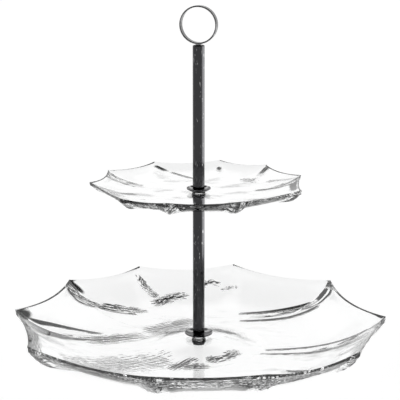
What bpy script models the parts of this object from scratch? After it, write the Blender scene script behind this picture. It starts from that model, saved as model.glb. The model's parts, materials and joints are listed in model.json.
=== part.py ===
"""Two-tier cake stand: two scalloped glass plates on a screwed metal column with a ring handle.

Metres, +Z up. The origin lies on the column's axis, at the level of the table.
Run with: blender --background --python part.py
"""
from collections import namedtuple
from math import atan2, cos, exp, hypot, pi, radians, sin

import bmesh
import bpy

# ---------------------------------------------------------------- driving dimensions
GAP = 0.0003                    # clearance left between pieces that touch

# Plates. A tip is its bearing about the column in degrees (0 = +X, counter-clockwise), how many
# millimetres it is lifted above its plate's usual rise, how far the rim from it to the next tip bows
# inward per length of the chord, how many millimetres more that scallop sags, how far the rib under the
# tip sweeps round by its inner end in degrees, and how deep that rib is for its plate. A plate is a sheet
# of even thickness: its middle is pushed up by foot, and from the rest ring it curls up to the rim.
Tip = namedtuple("Tip", "bearing lift bow sag sweep rib")
Plate = namedtuple(
    "Plate", "tips radius rise valley_drop thickness lip undercut rib_depth rib_width "
             "ring_inner ring_outer foot")
LOWER = Plate(
    tips=(Tip(-2, 0.0, 0.065, 0.0, -20, 1.0), Tip(40, 0.0, 0.065, 0.0, 46, 0.7),
          Tip(78, 0.0, 0.065, 0.0, 0, 0.3), Tip(111, 0.0, 0.065, 0.0, 0, 0.3),
          Tip(139, 0.0, 0.065, 0.0, -60, 0.7), Tip(175, 0.0, 0.042, 0.0, -22, 1.0),
          Tip(211, 0.0, 0.010, 2.4, 15, 0.9), Tip(257, 2.4, 0.000, -1.0, 0, 0.7),
          Tip(289, 2.6, 0.000, 2.6, 0, 0.6), Tip(323, 1.0, 0.022, 0.0, 0, 0.9)),
    radius=0.1600, rise=0.0199, valley_drop=0.0030, thickness=0.0040, lip=0.0022, undercut=0.0006,
    rib_depth=0.0058, rib_width=0.0110, ring_inner=0.0540, ring_outer=0.0590, foot=0.0070)
UPPER = Plate(
    tips=(Tip(16, 0.0, 0.060, 0.0, 0, 0.7), Tip(49, 0.0, 0.065, 0.0, 0, 0.3),
          Tip(78, 0.0, 0.060, 0.0, 0, 0.2), Tip(116, 0.0, 0.060, 0.0, 0, 0.2),
          Tip(150, 0.0, 0.065, 0.0, 0, 0.4), Tip(183, 0.5, 0.020, 0.0, 0, 0.5),
          Tip(227, 1.0, 0.020, 0.0, 0, 0.8), Tip(254, 2.4, 0.020, 0.3, 0, 1.0),
          Tip(291, 2.8, 0.020, 0.0, 0, 1.1), Tip(337, 0.5, 0.035, 0.0, 0, 0.9)),
    radius=0.0913, rise=0.0094, valley_drop=0.0016, thickness=0.0036, lip=0.0020, undercut=0.0006,
    rib_depth=0.0032, rib_width=0.0068, ring_inner=0.0260, ring_outer=0.0280, foot=0.0)
CURL_POWER = 3.0                # how late the sheet curls up towards the rim
LIP_WIDTH = 0.0080              # the sheet thins to its lip over this width
HUB_RADIUS = 0.0105             # of the level middle round the hole
RIB_FULL_SHARE = 0.84           # where between the rest ring and the rim a rib is deepest
RIB_SWELL_POWER = 3.0
RIB_NOSE_SHARE = 0.45           # what is left of a rib's depth at the tip
RIB_INNER_POWER = 4.0           # a rib is flat-bottomed at its inner end, and rounded at the tip
RIB_TIP_POWER = 2.0
EDGE_ROUND = 0.0006             # chamfer that rounds the rim's two edges
PLATE_HOLE_RADIUS = 0.0040

# Column
ROD_RADIUS = 0.0050
ROD_WALL = 0.0008
ROD_CHAMFER = 0.0005
STUD_RADIUS = 0.0020            # M4
STUD_BORE = STUD_RADIUS + GAP
STUD_ENGAGEMENT = 0.0120        # length of thread in each insert
INSERT_LENGTH = 0.0150
INSERT_RADIUS = ROD_RADIUS - ROD_WALL - GAP

# Washers and gaskets
LOWER_CUP_RADIUS = 0.0118
UPPER_CUP_RADIUS = 0.0101
CUP_FLAT_RADIUS = 0.0060
CUP_RISE = 0.0018
CUP_THICKNESS = 0.0009
CUP_STEPS = 4
WASHER_RADIUS = 0.0060
WASHER_THICKNESS = 0.0010
GASKET_RADIUS = 0.0056
GASKET_THICKNESS = 0.0006
SLEEVE_RADIUS = PLATE_HOLE_RADIUS - GAP

SCREW_HEAD_RADIUS = 0.0050
SCREW_HEAD_HEIGHT = 0.0016
SCREW_HEAD_CHAMFER = 0.0006
SCREW_SLOT_WIDTH = 0.0012
SCREW_SLOT_DEPTH = 0.0008

# Handle
RING_OUTER_RADIUS = 0.0157
RING_THICKNESS = 0.0012
RING_WIDTH = 0.0060
RING_ROUND = 0.0003
RING_TURN = radians(-14)        # the ring's bearing about the column, as it was screwed home
COLLAR_RADIUS = 0.0026
COLLAR_HEIGHT = 0.0005

# Heights of the tiers, all measured on the column's axis
LOWER_WELL = LOWER.foot + LOWER.thickness
UPPER_WELL = 0.1382
ROD_TOP = 0.2616

# Facets
SECTOR_STEPS = 11               # rim segments between two tips
PUSH_UP_STEPS = 4
ROUND_SEGMENTS = 32
RING_SEGMENTS = 56

# ---------------------------------------------------------------- materials
Finish = namedtuple("Finish", "colour roughness metallic")
CLEAR_GLASS = Finish((0.93, 0.95, 0.95, 1.0), 0.02, 0.0)
DARK_STEEL = Finish((0.07, 0.07, 0.073, 1.0), 0.15, 1.0)
ZINC_STEEL = Finish((0.45, 0.45, 0.44, 1.0), 0.35, 1.0)
BLACK_RUBBER = Finish((0.03, 0.03, 0.03, 1.0), 0.6, 0.0)
NYLON = Finish((0.03, 0.03, 0.03, 1.0), 0.45, 0.0)


def add_material(thing, finish):
    material = bpy.data.materials.new(thing.name + "_material")
    material.use_nodes = True
    shader = material.node_tree.nodes["Principled BSDF"]
    shader.inputs["Base Color"].default_value = finish.colour
    shader.inputs["Roughness"].default_value = finish.roughness
    shader.inputs["Metallic"].default_value = finish.metallic
    thing.data.materials.append(material)


def add_object(name, mesh_builder, finish, height=0.0, parent=None):
    """Turn a bmesh into a smooth-shaded object whose origin is on the column's axis."""
    bmesh.ops.recalc_face_normals(mesh_builder, faces=mesh_builder.faces)
    mesh = bpy.data.meshes.new(name)
    mesh_builder.to_mesh(mesh)
    mesh_builder.free()
    mesh.shade_smooth()
    mesh.set_sharp_from_angle(angle=radians(30))
    thing = bpy.data.objects.new(name, mesh)
    bpy.context.collection.objects.link(thing)
    thing.location.z = height
    thing.parent = parent
    add_material(thing, finish)
    return thing


def turned(name, outline, finish, height=0.0, parent=None, segments=ROUND_SEGMENTS):
    """Spin an outline of (radius, height) about Z. Ends on the axis close it, else it is a closed loop."""
    builder = bmesh.new()
    points = [builder.verts.new((radius, 0.0, z)) for radius, z in outline]
    edges = [builder.edges.new(pair) for pair in zip(points, points[1:])]
    if outline[0][0] > 0.0:
        edges.append(builder.edges.new((points[-1], points[0])))
    bmesh.ops.spin(builder, geom=points + edges, axis=(0, 0, 1), cent=(0, 0, 0),
                   angle=2 * pi, steps=segments, use_merge=True)
    bmesh.ops.remove_doubles(builder, verts=builder.verts, dist=1e-6)
    return add_object(name, builder, finish, height, parent)


def sleeve_outline(inner, outer, length, chamfer=0.0):
    """Outline of a plain tube or disc with a hole, its outer edges chamfered."""
    if chamfer == 0.0:
        return [(inner, 0.0), (outer, 0.0), (outer, length), (inner, length)]
    return [(inner, 0.0), (outer - chamfer, 0.0), (outer, chamfer),
            (outer, length - chamfer), (outer - chamfer, length), (inner, length)]


def stud_outline(radius, length, chamfer=0.0004):
    return [(0.0, 0.0), (radius - chamfer, 0.0), (radius, chamfer),
            (radius, length - chamfer), (radius - chamfer, length), (0.0, length)]


# ---------------------------------------------------------------- plates
Spoke = namedtuple("Spoke", "bearing rim_radius rim_rise tip")


def plate_spokes(plate):
    """Radial sections round the plate: one at each tip, and evenly along each concave scallop."""
    spokes = []
    for tip, after in zip(plate.tips, plate.tips[1:] + plate.tips[:1]):
        start = (plate.radius * cos(radians(tip.bearing)), plate.radius * sin(radians(tip.bearing)))
        end = (plate.radius * cos(radians(after.bearing)), plate.radius * sin(radians(after.bearing)))
        chord = hypot(end[0] - start[0], end[1] - start[1])
        middle = hypot(start[0] + end[0], start[1] + end[1])
        inward = (-(start[0] + end[0]) / middle, -(start[1] + end[1]) / middle)
        for step in range(SECTOR_STEPS):
            share = step / SECTOR_STEPS
            swell = 4 * share * (1 - share)
            depth = tip.bow * chord * swell
            x = start[0] + share * (end[0] - start[0]) + depth * inward[0]
            y = start[1] + share * (end[1] - start[1]) + depth * inward[1]
            lift = tip.lift + share * (after.lift - tip.lift) - tip.sag * swell
            rise = plate.rise - plate.valley_drop * swell + lift / 1000
            nearest = tip if share < 0.5 else after
            spokes.append(Spoke(atan2(y, x), hypot(x, y), rise, nearest))
    return spokes


def smooth_step(value):
    value = min(1.0, max(0.0, value))
    return value * value * (3 - 2 * value)


def plate_section(plate, spoke):
    """Closed outline (radius, height above the well) of the plate along one spoke."""
    outer = spoke.rim_radius
    span = outer - plate.ring_outer
    rise = plate.foot + spoke.rim_rise

    def share_at(radius):
        return min(1.0, max(0.0, (radius - plate.ring_outer) / span))

    def top(radius):
        push_up = smooth_step((plate.ring_inner - radius) / (plate.ring_inner - HUB_RADIUS))
        return plate.foot * (push_up - 1) + rise * share_at(radius) ** CURL_POWER

    def wall(radius):
        return plate.thickness - (plate.thickness - plate.lip) * smooth_step(1 - (outer - radius) / LIP_WIDTH)

    def rib(radius):
        """Depth of the rib that runs under each tip: it swells outward, then thins to the tip."""
        share = share_at(radius)
        centre_line = radians(spoke.tip.bearing + spoke.tip.sweep * (1 - share) ** 2)
        offset = radius * sin(spoke.bearing - centre_line)
        power = RIB_INNER_POWER + (RIB_TIP_POWER - RIB_INNER_POWER) * share
        nose = max(0.0, (share - RIB_FULL_SHARE) / (1 - RIB_FULL_SHARE))
        swelling = min(1.0, share / RIB_FULL_SHARE) ** RIB_SWELL_POWER
        along = swelling * (1 - (1 - RIB_NOSE_SHARE) * nose ** 2)
        return plate.rib_depth * spoke.tip.rib * along * exp(-abs(offset / plate.rib_width) ** power)

    def under(radius):
        return top(radius) - wall(radius) - rib(radius)

    push_up_radii = [HUB_RADIUS + (plate.ring_inner - HUB_RADIUS) * step / PUSH_UP_STEPS
                     for step in range(1, PUSH_UP_STEPS + 1)]
    upper_radii = [PLATE_HOLE_RADIUS, HUB_RADIUS] + push_up_radii
    upper_radii += [plate.ring_outer + span * share for share in (0.0, 0.26, 0.44, 0.60, 0.74, 0.87)]
    upper_radii.append(outer - EDGE_ROUND)
    rim = [(outer, top(outer) - EDGE_ROUND), (outer, under(outer) + EDGE_ROUND)]
    lower_radii = [outer - plate.undercut - EDGE_ROUND, outer - LIP_WIDTH]
    lower_radii += [plate.ring_outer + span * share for share in (0.84, 0.76, 0.66, 0.52, 0.36, 0.18, 0.0)]
    lower_radii += push_up_radii[::-1] + [HUB_RADIUS, PLATE_HOLE_RADIUS]
    return ([(radius, top(radius)) for radius in upper_radii] + rim
            + [(radius, under(radius)) for radius in lower_radii])


def glass_plate(name, plate, well, parent):
    """Skin the spokes' sections into one closed solid round the centre hole."""
    builder = bmesh.new()
    rings = []
    for spoke in plate_spokes(plate):
        section = plate_section(plate, spoke)
        rings.append([builder.verts.new((radius * cos(spoke.bearing), radius * sin(spoke.bearing), z))
                      for radius, z in section])
    for ring, following in zip(rings, rings[1:] + rings[:1]):
        for index in range(len(ring)):
            after = (index + 1) % len(ring)
            builder.faces.new((ring[index], following[index], following[after], ring[after]))
    return add_object(name, builder, CLEAR_GLASS, well, parent)


# ---------------------------------------------------------------- column hardware
def cup_washer(name, radius, height, parent):
    """Dished metal washer, concave side up, that spreads the rod's load."""
    span = radius - CUP_FLAT_RADIUS
    shares = [step / CUP_STEPS for step in range(CUP_STEPS + 1)]
    upper = [(CUP_FLAT_RADIUS + span * s, CUP_THICKNESS + CUP_RISE * s * s) for s in shares]
    lower = [(CUP_FLAT_RADIUS + span * s, CUP_RISE * s * s) for s in shares]
    outline = [(STUD_BORE, 0.0)] + lower + upper[::-1] + [(STUD_BORE, CUP_THICKNESS)]
    return turned(name, outline, DARK_STEEL, height, parent)


def rod(name, bottom, top, parent):
    outline = sleeve_outline(ROD_RADIUS - ROD_WALL, ROD_RADIUS, top - bottom, ROD_CHAMFER)
    turned(name, outline, DARK_STEEL, bottom, parent)
    for place, height in (("top", top - INSERT_LENGTH - ROD_CHAMFER), ("bottom", bottom + ROD_CHAMFER)):
        insert = sleeve_outline(STUD_BORE, INSERT_RADIUS, INSERT_LENGTH)
        turned(f"{name}_{place}_insert", insert, ZINC_STEEL, height, parent)


def flat_ring(name, outer, thickness, finish, height, parent):
    return turned(name, sleeve_outline(STUD_BORE, outer, thickness), finish, height, parent)


def bottom_screw(top, parent):
    """Low slotted screw that clamps the lower plate from below."""
    washer_bottom = LOWER_WELL - LOWER.thickness - GASKET_THICKNESS - WASHER_THICKNESS - 3 * GAP
    base = washer_bottom - SCREW_HEAD_HEIGHT
    length = top - base
    outline = [(0.0, 0.0), (SCREW_HEAD_RADIUS - SCREW_HEAD_CHAMFER, 0.0),
               (SCREW_HEAD_RADIUS, SCREW_HEAD_CHAMFER),
               (SCREW_HEAD_RADIUS, SCREW_HEAD_HEIGHT), (STUD_RADIUS, SCREW_HEAD_HEIGHT),
               (STUD_RADIUS, length), (0.0, length)]
    screw = turned("bottom_screw", outline, DARK_STEEL, base, parent)
    builder = bmesh.new()
    bmesh.ops.create_cube(builder, size=1.0)
    bmesh.ops.scale(builder, verts=builder.verts,
                    vec=(4 * SCREW_HEAD_RADIUS, SCREW_SLOT_WIDTH, 2 * SCREW_SLOT_DEPTH))
    slot = add_object("screw_slot_cutter", builder, DARK_STEEL, base, parent)
    slot.hide_render = True
    slot.display_type = "WIRE"
    cut = screw.modifiers.new("slot", "BOOLEAN")
    cut.operation = "DIFFERENCE"
    cut.object = slot


# ---------------------------------------------------------------- handle
def handle(parent):
    """Flat band bent into a ring and welded to a short collar and stud."""
    stud_length = STUD_ENGAGEMENT + GAP
    outline = [(0.0, 0.0), (STUD_RADIUS, 0.0), (STUD_RADIUS, stud_length), (COLLAR_RADIUS, stud_length),
               (COLLAR_RADIUS, stud_length + COLLAR_HEIGHT), (0.0, stud_length + COLLAR_HEIGHT)]
    turned("handle_stud", outline, DARK_STEEL, ROD_TOP - STUD_ENGAGEMENT, parent)

    half = RING_WIDTH / 2
    inner = RING_OUTER_RADIUS - RING_THICKNESS
    band = [(inner, -half + RING_ROUND), (inner + RING_ROUND, -half),
            (RING_OUTER_RADIUS - RING_ROUND, -half), (RING_OUTER_RADIUS, -half + RING_ROUND),
            (RING_OUTER_RADIUS, half - RING_ROUND), (RING_OUTER_RADIUS - RING_ROUND, half),
            (inner + RING_ROUND, half), (inner, half - RING_ROUND)]
    centre = ROD_TOP + GAP + COLLAR_HEIGHT + GAP + RING_OUTER_RADIUS
    ring = turned("handle_ring", band, DARK_STEEL, centre, parent, RING_SEGMENTS)
    ring.rotation_euler = (radians(90), 0.0, RING_TURN)


# ---------------------------------------------------------------- assembly
def empty(name, parent=None):
    marker = bpy.data.objects.new(name, None)
    bpy.context.collection.objects.link(marker)
    marker.parent = parent
    return marker


def build_lower_tier(parent):
    glass_plate("lower_plate", LOWER, LOWER_WELL, parent)
    bottom = LOWER_WELL - LOWER.thickness
    flat_ring("bottom_gasket", GASKET_RADIUS, GASKET_THICKNESS, BLACK_RUBBER,
              bottom - GAP - GASKET_THICKNESS, parent)
    flat_ring("lower_hole_sleeve", SLEEVE_RADIUS, LOWER.thickness - 2 * GAP, NYLON, bottom + GAP, parent)
    flat_ring("lower_top_gasket", GASKET_RADIUS, GASKET_THICKNESS, BLACK_RUBBER, LOWER_WELL + GAP, parent)


def build_upper_tier(parent):
    glass_plate("upper_plate", UPPER, UPPER_WELL, parent)
    bottom = UPPER_WELL - UPPER.thickness
    flat_ring("upper_under_gasket", GASKET_RADIUS, GASKET_THICKNESS, BLACK_RUBBER,
              bottom - GAP - GASKET_THICKNESS, parent)
    flat_ring("upper_hole_sleeve", SLEEVE_RADIUS, UPPER.thickness - 2 * GAP, NYLON, bottom + GAP, parent)
    flat_ring("upper_top_gasket", GASKET_RADIUS, GASKET_THICKNESS, BLACK_RUBBER, UPPER_WELL + GAP, parent)


def build_lower_column(parent):
    """Everything that turns with the lower rod, its heights worked out from the two plates' wells."""
    seat = LOWER_WELL + GASKET_THICKNESS + 2 * GAP
    rod_bottom = seat + CUP_THICKNESS + GAP
    under_washer = UPPER_WELL - UPPER.thickness - GASKET_THICKNESS - WASHER_THICKNESS - 2 * GAP
    rod_top = under_washer - GAP
    flat_ring("bottom_washer", WASHER_RADIUS, WASHER_THICKNESS, DARK_STEEL,
              LOWER_WELL - LOWER.thickness - GASKET_THICKNESS - WASHER_THICKNESS - 2 * GAP, parent)
    bottom_screw(rod_bottom + STUD_ENGAGEMENT, parent)
    cup_washer("lower_cup_washer", LOWER_CUP_RADIUS, seat, parent)
    rod("lower_rod", rod_bottom, rod_top, parent)
    flat_ring("upper_under_washer", WASHER_RADIUS, WASHER_THICKNESS, DARK_STEEL, under_washer, parent)
    stud_bottom = rod_top - STUD_ENGAGEMENT
    stud_top = upper_rod_bottom() + STUD_ENGAGEMENT
    turned("joining_stud", stud_outline(STUD_RADIUS, stud_top - stud_bottom), ZINC_STEEL, stud_bottom, parent)


def upper_cup_seat():
    return UPPER_WELL + GASKET_THICKNESS + 2 * GAP


def upper_rod_bottom():
    return upper_cup_seat() + CUP_THICKNESS + GAP


def build_upper_column(parent):
    cup_washer("upper_cup_washer", UPPER_CUP_RADIUS, upper_cup_seat(), parent)
    rod("upper_rod", upper_rod_bottom(), ROD_TOP, parent)


def main():
    for thing in list(bpy.data.objects):
        bpy.data.objects.remove(thing, do_unlink=True)
    stand = empty("stand")
    build_lower_tier(stand)
    column = empty("column_axis", stand)
    build_lower_column(column)
    build_upper_tier(empty("upper_plate_axis", column))
    upper_column = empty("upper_rod_axis", column)
    build_upper_column(upper_column)
    handle(empty("handle_axis", upper_column))


main()
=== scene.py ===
"""Looks of the two-tier cake stand: clear pressed-glass plates on a black-nickel column."""
import json
from collections import namedtuple
from math import atan2, cos, pi, radians, sin

import bpy
import numpy as np
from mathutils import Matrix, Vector


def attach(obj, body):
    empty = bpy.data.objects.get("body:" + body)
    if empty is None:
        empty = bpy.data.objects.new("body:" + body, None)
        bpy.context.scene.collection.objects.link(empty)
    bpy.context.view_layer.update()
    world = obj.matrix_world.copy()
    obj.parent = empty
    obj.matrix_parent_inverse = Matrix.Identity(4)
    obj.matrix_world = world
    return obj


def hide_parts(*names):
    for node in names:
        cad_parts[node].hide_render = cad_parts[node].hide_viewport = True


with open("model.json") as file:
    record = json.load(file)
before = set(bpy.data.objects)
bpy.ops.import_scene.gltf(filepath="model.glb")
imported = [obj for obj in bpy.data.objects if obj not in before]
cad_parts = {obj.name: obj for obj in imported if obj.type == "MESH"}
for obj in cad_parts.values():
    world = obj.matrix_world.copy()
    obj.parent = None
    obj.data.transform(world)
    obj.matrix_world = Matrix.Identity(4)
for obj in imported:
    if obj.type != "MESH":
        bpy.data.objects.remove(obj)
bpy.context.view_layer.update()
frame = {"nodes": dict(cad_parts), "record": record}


# ---------------------------------------------------------------- camera and studio
TARGET = Vector((0.0011, 0.0, 0.1314))
CAMERA_DISTANCE = 1.151
CAMERA_ELEVATION = radians(13.39)
CAMERA_LENS = 123.3
SENSOR_WIDTH = 36.0
FLOOR_SIZE = 60.0
FLOOR_GREY = 0.35
FLOOR_GLOW = 0.86
TENT_STEPS = ((0.0, 1.0), (0.60, 1.0), (0.75, 0.02), (1.0, 0.02))   # height in the tent, brightness
PANEL_PLACE = Vector((0.27, 0.03, 0.14))
PANEL_AIM = Vector((0.0, 0.03, 0.14))
PANEL_SIZE = (0.36, 0.27)
PANEL_POWER = 1.4


def add_camera():
    data = bpy.data.cameras.new("camera")
    data.lens = CAMERA_LENS
    data.sensor_width = SENSOR_WIDTH
    camera = bpy.data.objects.new("camera", data)
    bpy.context.collection.objects.link(camera)
    back = Vector((0.0, -cos(CAMERA_ELEVATION), sin(CAMERA_ELEVATION)))
    camera.location = TARGET + CAMERA_DISTANCE * back
    camera.rotation_euler = back.to_track_quat("Z", "Y").to_euler()
    bpy.context.scene.camera = camera


def add_floor():
    """A white table lit from below, as glassware is shown."""
    bpy.ops.mesh.primitive_plane_add(size=FLOOR_SIZE)
    floor = bpy.context.object
    floor.name = "floor"
    material = bpy.data.materials.new("white_light_table")
    material.use_nodes = True
    shader = material.node_tree.nodes["Principled BSDF"]
    shader.inputs["Base Color"].default_value = (FLOOR_GREY, FLOOR_GREY, FLOOR_GREY, 1.0)
    shader.inputs["Roughness"].default_value = 0.9
    shader.inputs["Specular IOR Level"].default_value = 0.0
    shader.inputs["Emission Color"].default_value = (1.0, 1.0, 1.0, 1.0)
    shader.inputs["Emission Strength"].default_value = FLOOR_GLOW
    floor.data.materials.append(material)


def add_right_panel():
    """A soft panel beside the column, seen only as the long highlight on the metal."""
    data = bpy.data.lights.new("right_panel", "AREA")
    data.shape = "RECTANGLE"
    data.size, data.size_y = PANEL_SIZE
    data.energy = PANEL_POWER
    light = bpy.data.objects.new("right_panel", data)
    bpy.context.collection.objects.link(light)
    light.location = PANEL_PLACE
    light.rotation_euler = (PANEL_PLACE - PANEL_AIM).to_track_quat("Z", "Y").to_euler()
    light.visible_camera = False
    light.visible_diffuse = False
    light.visible_transmission = False


def add_world():
    """A white light tent that is open at the top, so that steep reflections in the glass are dark."""
    world = bpy.data.worlds.new("light_tent")
    bpy.context.scene.world = world
    world.use_nodes = True
    nodes, links = world.node_tree.nodes, world.node_tree.links
    direction = nodes.new("ShaderNodeTexCoord")
    split = nodes.new("ShaderNodeSeparateXYZ")
    ramp = nodes.new("ShaderNodeValToRGB")
    links.new(direction.outputs["Generated"], split.inputs[0])
    links.new(split.outputs["Z"], ramp.inputs["Fac"])
    links.new(ramp.outputs["Color"], nodes["Background"].inputs["Color"])
    elements = ramp.color_ramp.elements
    elements[0].position, elements[1].position = TENT_STEPS[0][0], TENT_STEPS[-1][0]
    for place, _ in TENT_STEPS[1:-1]:
        elements.new(place)
    for element, (_, level) in zip(elements, TENT_STEPS):
        element.color = (level, level, level, 1.0)


def add_stage():
    add_camera()
    add_floor()
    add_world()
    add_right_panel()
    bpy.context.scene.view_settings.view_transform = "Standard"


# ---------------------------------------------------------------- materials
class Surface:
    """A Principled material, and the few node patterns that the finishes share."""

    def __init__(self, name, colour, roughness, metallic=0.0):
        self.material = bpy.data.materials.new(name)
        self.material.use_nodes = True
        self.nodes, self.links = self.material.node_tree.nodes, self.material.node_tree.links
        self.shader = self.nodes["Principled BSDF"]
        self.set("Base Color", (*colour, 1.0))
        self.set("Roughness", roughness)
        self.set("Metallic", metallic)

    def set(self, socket, value):
        self.shader.inputs[socket].default_value = value

    def drive(self, socket, output):
        self.links.new(output, self.shader.inputs[socket])

    def noise(self, scale, stretch=(1.0, 1.0, 1.0), detail=3.0):
        """Noise in object space, squeezed along each axis by stretch."""
        place = self.nodes.new("ShaderNodeTexCoord")
        mapping = self.nodes.new("ShaderNodeMapping")
        mapping.inputs["Scale"].default_value = stretch
        noise = self.nodes.new("ShaderNodeTexNoise")
        noise.inputs["Scale"].default_value = scale
        noise.inputs["Detail"].default_value = detail
        self.links.new(place.outputs["Object"], mapping.inputs["Vector"])
        self.links.new(mapping.outputs["Vector"], noise.inputs["Vector"])
        return noise.outputs["Fac"]

    def attribute(self, name):
        node = self.nodes.new("ShaderNodeAttribute")
        node.attribute_name = name
        return node.outputs["Fac"]

    def multiply(self, one, other):
        node = self.nodes.new("ShaderNodeMath")
        node.operation = "MULTIPLY"
        self.links.new(one, node.inputs[0])
        self.links.new(other, node.inputs[1])
        return node.outputs[0]

    def remap(self, value, low, high):
        node = self.nodes.new("ShaderNodeMapRange")
        node.inputs["To Min"].default_value = low
        node.inputs["To Max"].default_value = high
        self.links.new(value, node.inputs["Value"])
        return node.outputs["Result"]

    def ramp(self, value, first, last, start=0.3, end=0.7):
        node = self.nodes.new("ShaderNodeValToRGB")
        elements = node.color_ramp.elements
        elements[0].color, elements[1].color = (*first, 1.0), (*last, 1.0)
        elements[0].position, elements[1].position = start, end
        self.links.new(value, node.inputs["Fac"])
        return node.outputs["Color"]

    def bump(self, value, strength, distance, under=None):
        node = self.nodes.new("ShaderNodeBump")
        node.inputs["Strength"].default_value = strength
        node.inputs["Distance"].default_value = distance
        self.links.new(value, node.inputs["Height"])
        if under is not None:
            self.links.new(under, node.inputs["Normal"])
        self.drive("Normal", node.outputs["Normal"])
        return node.outputs["Normal"]


CLEAR = (0.985, 0.988, 0.988)
# Painted shade: where the glass is worked, its colour and the share of light it lets through drop to a
# dark, nearly opaque paint that stands in for the dark room refracted in the tooling.
PAINTED_SHADE_COLOUR = (0.010, 0.010, 0.010)
CLEAR_SHARE, PAINTED_SHADE_SHARE = (1.0, 1.0, 1.0), (0.1, 0.1, 0.1)    # of the light that gets through


def clear_glass():
    """Clear pressed crystal: slow ripples from the mould, and a hammered bump where it was worked, with
    painted shade there: the worked glass is coloured dark and lets little light through.
    """
    surface = Surface("clear_pressed_glass", CLEAR, 0.0)
    surface.set("Transmission Weight", 1.0)
    surface.set("IOR", 1.52)
    slow = surface.bump(surface.noise(38.0, detail=1.5), 0.25, 0.002)
    grey = surface.attribute("grey")
    hammering = surface.multiply(grey, surface.noise(420.0, (0.35, 1.0, 1.0), 3.0))
    surface.bump(hammering, 1.0, 0.0030, slow)
    # Painted shade: the worked glass is coloured dark and lets little light through.
    surface.drive("Base Color", surface.ramp(grey, CLEAR, PAINTED_SHADE_COLOUR, 0.2, 0.7))
    surface.drive("Transmission Weight", surface.ramp(grey, CLEAR_SHARE, PAINTED_SHADE_SHARE, 0.45, 0.9))
    return surface.material


def dark_steel():
    """Black nickel over drawn tube: glossy, with short bright rubs along its length."""
    surface = Surface("black_nickel", (0.045, 0.045, 0.047), 0.10, 1.0)
    rubs = surface.noise(1100.0, (1.0, 1.0, 0.16), 2.0)
    colour = surface.ramp(rubs, (0.040, 0.040, 0.042), (0.40, 0.40, 0.40), 0.66, 0.74)
    surface.drive("Base Color", colour)
    surface.drive("Roughness", surface.remap(surface.noise(70.0, (1.0, 1.0, 0.3), 5.0), 0.05, 0.16))
    surface.bump(surface.noise(900.0, (1.0, 1.0, 0.04), 2.0), 0.10, 0.0001)
    return surface.material


PAINTED_REFLECTION_SIDE = (0.0, -0.707, 0.707)


def dish_steel():
    """The cup washers: black nickel, with a painted reflection: brighter on the side of their hollow that
    faces front and up.
    """
    surface = Surface("dish_nickel_painted_reflection", (0.5, 0.5, 0.5), 0.15, 1.0)
    facing = surface.nodes.new("ShaderNodeTexCoord")
    toward = surface.nodes.new("ShaderNodeVectorMath")
    toward.operation = "DOT_PRODUCT"
    toward.inputs[1].default_value = PAINTED_REFLECTION_SIDE
    surface.links.new(facing.outputs["Normal"], toward.inputs[0])
    # Painted reflection: faces turned front and up get a bright base colour, the rest stay dark.
    painted_reflection = surface.ramp(toward.outputs["Value"], (0.04, 0.04, 0.042), (0.75, 0.75, 0.75), 0.74, 0.84)
    surface.drive("Base Color", painted_reflection)
    surface.drive("Roughness", surface.remap(surface.noise(300.0, detail=4.0), 0.08, 0.22))
    return surface.material


def ring_steel():
    """The handle's band: dark nickel, buffed round the ring in fine brighter lines."""
    surface = Surface("buffed_ring_nickel", (0.5, 0.5, 0.5), 0.12, 1.0)
    brushed = surface.noise(700.0, (1.0, 0.08, 1.0), 3.0)
    colour = surface.ramp(brushed, (0.05, 0.05, 0.052), (0.16, 0.16, 0.16), 0.35, 0.75)
    surface.drive("Base Color", colour)
    surface.drive("Roughness", surface.remap(brushed, 0.06, 0.2))
    surface.bump(brushed, 0.1, 0.0001)
    return surface.material


def zinc_steel():
    """Zinc plate with a faint spangle."""
    surface = Surface("zinc_plated_steel", (0.45, 0.45, 0.44), 0.35, 1.0)
    spangle = surface.noise(600.0, detail=5.0)
    surface.drive("Base Color", surface.ramp(spangle, (0.36, 0.36, 0.35), (0.52, 0.52, 0.51)))
    surface.drive("Roughness", surface.remap(spangle, 0.25, 0.45))
    surface.bump(spangle, 0.15, 0.0001)
    return surface.material


def black_nylon():
    """Moulded nylon with a fine grain."""
    surface = Surface("black_nylon", (0.02, 0.02, 0.02), 0.45)
    grain = surface.noise(1400.0, detail=3.0)
    surface.drive("Base Color", surface.ramp(grain, (0.015, 0.015, 0.016), (0.03, 0.03, 0.03)))
    surface.bump(grain, 0.2, 0.0001)
    return surface.material


def black_rubber():
    """Soft matt rubber with a fine grain."""
    surface = Surface("black_rubber", (0.02, 0.02, 0.02), 0.6)
    grain = surface.noise(900.0, detail=4.0)
    surface.drive("Base Color", surface.ramp(grain, (0.014, 0.014, 0.014), (0.030, 0.030, 0.030)))
    surface.drive("Roughness", surface.remap(grain, 0.5, 0.75))
    surface.bump(grain, 0.2, 0.0001)
    return surface.material


# ---------------------------------------------------------------- pieces
GLASS_SHARP_ANGLE = radians(34)


def add_piece(name, mesh, material, body, node):
    """Shade a finished mesh, give it its material and body, and hide the CAD node it stands in for."""
    mesh.shade_smooth()
    mesh.set_sharp_from_angle(angle=GLASS_SHARP_ANGLE)
    mesh.materials.append(material)
    piece = bpy.data.objects.new(name, mesh)
    bpy.context.collection.objects.link(piece)
    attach(piece, body)
    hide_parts(node)


def smooth_step(value):
    value = np.clip(value, 0.0, 1.0)
    return value * value * (3 - 2 * value)
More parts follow.
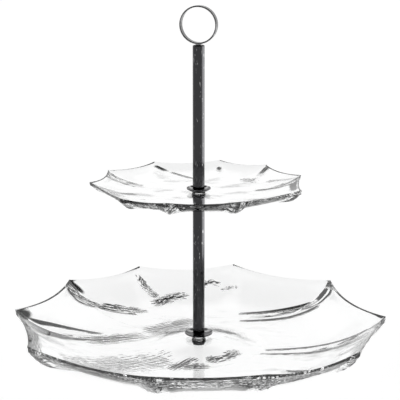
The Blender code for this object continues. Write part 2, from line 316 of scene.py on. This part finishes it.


# ---------------------------------------------------------------- glass plates
# A tip is its bearing in degrees, how many millimetres it is lifted, how far the rim to the next tip
# bows inward per length of the chord, how many millimetres more that scallop sags, how far its rib
# sweeps round by the inner end in degrees, and how deep that rib is for its plate.
# A mark is a line or patch tooled in the soft glass: two ends, each a bearing in degrees and a radius in
# millimetres, then its sideways bow, half width and depth in millimetres, the space between its
# scratches in millimetres (0 for one plain groove), and how strong its painted shade is along it (0 to 1).
# A plate's own measures are in metres: radius at the tips, height of the well (its level upper face),
# rise of the rim and how far it drops between tips, thickness of the sheet and of its lip, depth and
# width of a rib, the level ring it rests on, and how far its middle is pushed up above that ring.
Tip = namedtuple("Tip", "bearing lift bow sag sweep rib")
Mark = namedtuple("Mark", "start end bow width depth hatch grey")
Plate = namedtuple(
    "Plate", "tips radius well rise valley_drop thickness lip rib_depth rib_width "
             "ring_inner ring_outer foot marks")
LOWER = Plate(
    tips=(Tip(-2, 0.0, 0.065, 0.0, -20, 1.0), Tip(40, 0.0, 0.065, 0.0, 46, 0.7),
          Tip(78, 0.0, 0.065, 0.0, 0, 0.3), Tip(111, 0.0, 0.065, 0.0, 0, 0.3),
          Tip(139, 0.0, 0.065, 0.0, -60, 0.7), Tip(175, 0.0, 0.042, 0.0, -22, 1.0),
          Tip(211, 0.0, 0.010, 2.4, 15, 0.9), Tip(257, 2.4, 0.000, -1.0, 0, 0.7),
          Tip(289, 2.6, 0.000, 2.6, 0, 0.6), Tip(323, 1.0, 0.022, 0.0, 0, 0.9)),
    radius=0.1600, well=0.0110, rise=0.0199, valley_drop=0.0030, thickness=0.0040, lip=0.0022,
    rib_depth=0.0058, rib_width=0.0110, ring_inner=0.0540, ring_outer=0.0590, foot=0.0070,
    marks=(
        # creases along the ribs, mostly in pairs
        Mark((-2, 146), (-11, 60), 0.0, 1.8, 1.0, 0, 0.8),
        Mark((-12, 144), (-22, 58), -2.0, 1.8, 1.0, 0, 0.7),
        Mark((41, 135), (65, 93), 2.0, 2.0, 1.1, 0, 1.0),
        Mark((34, 130), (59, 77), 2.0, 1.8, 1.0, 0, 1.0),
        Mark((173, 148), (162, 92), 4.0, 2.2, 1.2, 0, 0.9),
        Mark((-178, 143), (172, 87), 3.0, 2.0, 1.0, 0, 0.8),
        Mark((141, 150), (136, 128), 0.0, 3.2, 1.2, 3, 0.9),
        # short tool marks
        Mark((112, 149), (109, 127), 0.0, 3.0, 1.6, 2, 1.0),
        Mark((109, 115), (97, 122), 1.5, 4.5, 1.2, 3, 1.0),
        Mark((88, 135), (82, 139), 2.0, 2.5, 1.2, 3, 1.0),
        Mark((80, 134), (75, 137), 2.0, 2.0, 0.6, 3, 0.5),
        Mark((133, 125), (121, 103), 0.0, 3.5, 0.9, 3, 0.9),
        Mark((132, 54), (98, 62), 0.0, 8.0, 0.7, 4, 0.7),
        Mark((172, 87), (157, 60), 0.0, 7.0, 0.7, 4, 0.8),
        Mark((-73, 41), (-38, 38), -2.0, 4.0, 1.2, 3, 1.0),
        Mark((-110, 57), (-98, 39), 0.0, 4.0, 0.8, 3, 0.9),
        Mark((-98, 53), (-87, 52), 0.0, 4.5, 1.0, 3, 1.0),
        Mark((-147, 120), (-133, 52), 0.0, 14.0, 0.4, 4, 0.45),
        # hammered work round the front and sides of the rim
        Mark((176, 158), (171, 151), 0.0, 3.2, 0.5, 0, 1.0),
        Mark((178, 156), (194, 149), 0.0, 6.0, 1.2, 2.5, 1.0),
        Mark((210, 156), (193, 149), 0.0, 6.0, 1.2, 2.5, 1.0),
        Mark((211, 152), (236, 150), 0.0, 3.0, 1.2, 2.5, 1.0),
        Mark((236, 149), (257, 147), 0.0, 3.0, 1.2, 2.5, 0.9),
        Mark((254, 140), (259, 150), 0.0, 5.0, 1.4, 3, 0.9),
        Mark((259, 149), (284, 149), 0.0, 5.0, 1.5, 2.5, 0.5),
        Mark((284, 150), (306, 148), 0.0, 5.0, 1.6, 2.5, 0.9),
        Mark((306, 147), (322, 149), 0.0, 3.0, 1.0, 2.5, 0.7),
        Mark((-4, 157), (-20, 148), 0.0, 4.0, 1.4, 2.5, 1.0),
        Mark((-36, 154), (-20, 148), 0.0, 4.0, 1.4, 2.5, 1.0),
        # pinches at the tips
        Mark((-3, 158), (-8, 151), 0.0, 2.6, 0.5, 0, 1.0),
        Mark((139, 158), (137, 149), 0.0, 2.6, 0.5, 0, 1.0),
        Mark((40, 158), (24, 148), 0.0, 1.6, 0.3, 0, 1.0)))
UPPER = Plate(
    tips=(Tip(16, 0.0, 0.060, 0.0, 0, 0.7), Tip(49, 0.0, 0.065, 0.0, 0, 0.3),
          Tip(78, 0.0, 0.060, 0.0, 0, 0.2), Tip(116, 0.0, 0.060, 0.0, 0, 0.2),
          Tip(150, 0.0, 0.065, 0.0, 0, 0.4), Tip(183, 0.5, 0.020, 0.0, 0, 0.5),
          Tip(227, 1.0, 0.020, 0.0, 0, 0.8), Tip(254, 2.4, 0.020, 0.3, 0, 1.0),
          Tip(291, 2.8, 0.020, 0.0, 0, 1.1), Tip(337, 0.5, 0.035, 0.0, 0, 0.9)),
    radius=0.0913, well=0.1382, rise=0.0094, valley_drop=0.0016, thickness=0.0036, lip=0.0020,
    rib_depth=0.0032, rib_width=0.0068, ring_inner=0.0260, ring_outer=0.0280, foot=0.0,
    marks=(
        # short tool marks near the back tips
        Mark((116, 85), (112, 77), 0.0, 1.8, 1.2, 0, 1.0),
        Mark((109, 71), (92, 52), 0.0, 1.4, 0.8, 0, 0.7),
        Mark((47, 87), (46, 78), 0.0, 2.2, 1.2, 0, 1.0),
        Mark((77, 81), (76, 77), 0.0, 1.8, 1.2, 0, 1.0),
        Mark((49, 62), (40, 61), 0.0, 3.0, 0.7, 3, 0.6),
        # pairs of creases at the sides
        Mark((152, 90), (152, 57), 0.0, 1.8, 0.9, 0, 0.5),
        Mark((159, 84), (159, 60), 0.0, 1.8, 0.9, 0, 0.5),
        Mark((28, 70), (16, 90), 0.0, 1.8, 0.9, 0, 0.5),
        Mark((11, 88), (16, 75), 0.0, 1.8, 0.9, 0, 0.5),
        # hammered work round the front of the rim
        Mark((186, 86), (225, 84), 0.0, 2.5, 0.8, 2, 0.8),
        Mark((228, 84), (254, 86), 0.0, 4.0, 0.8, 3, 0.5),
        Mark((254, 84), (259, 88), 0.0, 4.0, 1.1, 3, 0.8),
        Mark((259, 88), (289, 88), 0.0, 5.0, 1.0, 2, 0.35),
        Mark((287, 84), (297, 88), 0.0, 5.0, 1.1, 3, 1.0),
        Mark((297, 86), (316, 84), 0.0, 4.0, 1.4, 2, 1.0),
        Mark((335, 88), (315, 84), 0.0, 4.0, 1.4, 2, 1.0)))

CURL_POWER = 3.0                # how late and steeply the dish climbs to its rim
LIP_WIDTH = 0.0080              # over this width the sheet thins to its lip
RIB_FULL_SHARE = 0.84           # share of the way out where a rib is deepest
RIB_NOSE_SHARE = 0.45           # what is left of its depth at the tip
RIB_SWELL_POWER = 3.0
RIB_INNER_POWER = 4.0           # a rib is flat and square-shouldered inside, rounded at the tip
RIB_TIP_POWER = 2.0
HUB_RADIUS = 0.0105             # the level patch that the hardware clamps
HOLE_RADIUS = 0.0040
HOLE_ROUND = 0.0003
RIM_UNDERCUT = 0.0006
RIM_ROUND = 0.0004
SKIN_INSET = 0.0002             # keeps the polished rim just inside the CAD solid's box

SPOKE_SPACING = 0.0013          # along the rim
UNDER_SPACING = 0.0013          # along a spoke, on the underside
TOP_STEPS = 30
RIM_STEPS = 10
RIM_FIRST_CUT = 2               # the rim's first points stay sharp against the top
SCRATCH_WAVES = 10
MARK_FADE = 0.6                 # how much fainter a mark is at its far end
MARK_SEED = 11
SCRATCH_SPREAD = 0.4            # how unequal the spaces between scratches are
SCRATCH_SKEW = 0.3              # how far scratches lean across each other
# How strong a mark's painted shade is as a whole, and how much its scratches vary it.
PAINTED_SHADE_LEVEL = 0.75               # of a mark as a whole
PAINTED_SHADE_SCRATCH = 0.9              # how much its scratches add or take away


def toward(bearing):
    """The level direction at a bearing in degrees."""
    angle = radians(bearing)
    return Vector((cos(angle), sin(angle)))


def rim_line(plate):
    """Bearing, rim radius, rise of the rim, and nearest tip of each spoke round the plate."""
    rows = []
    radius = plate.radius - SKIN_INSET
    for tip, after in zip(plate.tips, plate.tips[1:] + plate.tips[:1]):
        start, end = toward(tip.bearing) * radius, toward(after.bearing) * radius
        chord = (end - start).length
        inward = -(start + end).normalized()
        steps = round(chord / SPOKE_SPACING)
        for step in range(steps):
            share = step / steps
            swell = 4 * share * (1 - share)
            point = start.lerp(end, share) + inward * tip.bow * chord * swell
            lift = tip.lift + share * (after.lift - tip.lift) - tip.sag * swell
            rise = plate.rise - plate.valley_drop * swell + lift / 1000
            nearest = tip if share < 0.5 else after
            rows.append((atan2(point.y, point.x), point.length, rise,
                         nearest.bearing, nearest.sweep, nearest.rib))
    return [np.array(column)[:, None] for column in zip(*rows)]


def scratches(across, along, spacing, rng):
    """A few crossing waves, long in one direction: the ridges a tool leaves when it is drawn over glass."""
    relief = np.zeros_like(across)
    for _ in range(SCRATCH_WAVES):
        fine = 2 * pi / spacing * rng.uniform(1 - SCRATCH_SPREAD, 1 + SCRATCH_SPREAD)
        skew = 2 * pi / spacing * rng.uniform(-SCRATCH_SKEW, SCRATCH_SKEW)
        relief += np.cos(fine * across + skew * along + rng.uniform(0, 2 * pi))
    return relief / np.sqrt(SCRATCH_WAVES / 2)


def mark_fields(plate, x, y):
    """How deep the marks cut at each point, and how strong the painted shade is there."""
    rng = np.random.default_rng(MARK_SEED)
    cut, grey = np.zeros_like(x), np.zeros_like(x)
    for mark in plate.marks:
        start, end = [toward(bearing) * radius / 1000 for bearing, radius in (mark.start, mark.end)]
        length = (end - start).length
        ahead = (end - start).normalized()
        width = mark.width / 1000
        along = (x - start.x) * ahead.x + (y - start.y) * ahead.y
        share = np.clip(along / length, 0.0, 1.0)
        bowed = mark.bow / 1000 * 4 * share * (1 - share)
        across = (y - start.y) * ahead.x - (x - start.x) * ahead.y - bowed
        beyond = np.abs(along - share * length)
        patch = np.exp(-(across / width) ** 2 - (beyond / width) ** 2) * (1 - MARK_FADE * share ** 2)
        relief = scratches(across, along, mark.hatch / 1000, rng) if mark.hatch else 1.0
        cut += mark.depth / 1000 * patch * (0.5 + 0.5 * relief)
        # Painted shade along the mark, strongest on its scratches.
        shade = np.clip(patch * (PAINTED_SHADE_LEVEL + PAINTED_SHADE_SCRATCH * relief), 0.0, 1.0)
        grey = np.maximum(grey, mark.grey * shade)
    return cut, grey


class Profile:
    """Heights of a plate's two skins along every spoke, measured from its well."""

    def __init__(self, plate):
        self.plate = plate
        self.bearing, self.rim, rim_rise, self.rib_bearing, self.sweep, self.rib_share = rim_line(plate)
        self.span = self.rim - plate.ring_outer
        self.rise = plate.foot + rim_rise

    def share_at(self, radius):
        """How far a point is from the rest ring (0) to the rim (1)."""
        return np.clip((radius - self.plate.ring_outer) / self.span, 0.0, 1.0)

    def top(self, radius):
        """The plate is pushed up round the hole, rests on a level ring, and climbs to the rim."""
        ring = self.plate.ring_inner
        push_up = smooth_step((ring - radius) / (ring - HUB_RADIUS))
        return self.plate.foot * (push_up - 1) + self.rise * self.share_at(radius) ** CURL_POWER

    def rib(self, radius):
        """Depth of the nearest rib, which swells along its line and rounds off at the tip."""
        share = self.share_at(radius)
        centre_line = np.radians(self.rib_bearing + self.sweep * (1 - share) ** 2)
        offset = radius * np.sin(self.bearing - centre_line)
        power = RIB_INNER_POWER + (RIB_TIP_POWER - RIB_INNER_POWER) * share
        nose = np.clip((share - RIB_FULL_SHARE) / (1 - RIB_FULL_SHARE), 0.0, 1.0)
        swelling = np.minimum(1.0, share / RIB_FULL_SHARE) ** RIB_SWELL_POWER
        along = swelling * (1 - (1 - RIB_NOSE_SHARE) * nose ** 2)
        across = np.exp(-np.abs(offset / self.plate.rib_width) ** power)
        return self.plate.rib_depth * self.rib_share * along * across

    def under(self, radius):
        plate = self.plate
        thinning = (plate.thickness - plate.lip) * smooth_step(1 - (self.rim - radius) / LIP_WIDTH)
        return self.top(radius) - plate.thickness + thinning - self.rib(radius)


def section(profile):
    """Radius and height of every spoke's closed section: top, rim, underside and hole wall."""
    plate, rim = profile.plate, profile.rim
    top_shares = np.linspace(0.0, 1.0, TOP_STEPS)[None, :]
    top_radius = HOLE_RADIUS + HOLE_ROUND + (rim - RIM_ROUND - HOLE_RADIUS - HOLE_ROUND) * top_shares
    top_z = profile.top(top_radius)
    lip_radius = rim - RIM_UNDERCUT
    turn = np.linspace(0.0, pi / 2, RIM_STEPS)[None, :]
    rim_radius = rim - RIM_UNDERCUT * (1 - np.cos(turn))
    rim_top = profile.top(rim) - RIM_ROUND
    rim_z = rim_top + (profile.under(lip_radius) - rim_top) * np.sin(turn)
    under_steps = round((plate.radius - HOLE_RADIUS) / UNDER_SPACING)
    under_shares = np.linspace(1.0, 0.0, under_steps)[None, 1:]
    under_radius = HOLE_RADIUS + HOLE_ROUND + (lip_radius - HOLE_RADIUS - HOLE_ROUND) * under_shares
    under_z = profile.under(under_radius)
    hole_radius = np.full((len(rim), 2), HOLE_RADIUS)
    hole_z = np.tile([-plate.thickness + HOLE_ROUND, -HOLE_ROUND], (len(rim), 1))
    radius = np.hstack([top_radius, rim_radius, under_radius, hole_radius])
    return radius, np.hstack([top_z, rim_z, under_z, hole_z])


def plate_surfaces(plate):
    """Points of every spoke's marked section as x, y and z arrays, and how strong the painted shade is
    there.
    """
    profile = Profile(plate)
    bearing = profile.bearing
    radius, z = section(profile)
    cut, grey = mark_fields(plate, radius * np.cos(bearing), radius * np.sin(bearing))
    column = np.arange(radius.shape[1])[None, :]
    below = column >= TOP_STEPS + RIM_STEPS
    edge = (column >= TOP_STEPS + RIM_FIRST_CUT) & ~below
    lowest = plate.well - plate.foot - plate.thickness
    z = np.maximum(z + plate.well + np.where(below, cut, 0.0), lowest)
    radius = radius - np.where(edge, np.abs(cut), 0.0)
    # Painted shade goes only on the underside and the rim.
    return radius * np.cos(bearing), radius * np.sin(bearing), z, np.where(below | edge, grey, 0.0)


def glass_plate(node, plate, material, body):
    """Skin the spokes' sections into one closed, fire-polished solid."""
    x, y, z, grey = plate_surfaces(plate)
    spokes, points = x.shape
    corner = np.arange(spokes * points).reshape(spokes, points)
    after, below = np.roll(corner, -1, axis=0), np.roll(corner, -1, axis=1)
    both = np.roll(after, -1, axis=1)
    faces = np.stack([corner, after, both, below], axis=-1).reshape(-1, 4)
    mesh = bpy.data.meshes.new(node + "_glass")
    mesh.from_pydata(np.stack([x, y, z], axis=-1).reshape(-1, 3), [], faces[:, ::-1])
    # Painted shade per point, read by the glass material.
    mask = mesh.attributes.new("grey", "FLOAT", "POINT")
    mask.data.foreach_set("value", grey.ravel().astype(np.float32))
    mesh.validate()
    add_piece(node + "_glass", mesh, material, body, node)


# ---------------------------------------------------------------- assembly
SPECIAL_FINISHES = {
    "lower_cup_washer": "dish_steel",
    "upper_cup_washer": "dish_steel",
    "handle_ring": "ring_steel"}


def dress_nodes(materials):
    """The plain hardware keeps its CAD mesh and gets its real finish."""
    finishes = {entry["node"]: entry["material_slot"] for entry in frame["record"]["subparts"]}
    for node, thing in frame["nodes"].items():
        finish = SPECIAL_FINISHES.get(node, finishes[node])
        thing.material_slots[0].material = materials[finish]


def main():
    add_stage()
    materials = {
        "clear_glass": clear_glass(),
        "dark_steel": dark_steel(),
        "dish_steel": dish_steel(),
        "ring_steel": ring_steel(),
        "zinc_steel": zinc_steel(),
        "nylon": black_nylon(),
        "black_rubber": black_rubber()}
    dress_nodes(materials)
    glass_plate("lower_plate", LOWER, materials["clear_glass"], "lower_tier")
    glass_plate("upper_plate", UPPER, materials["clear_glass"], "upper_tier")


main()
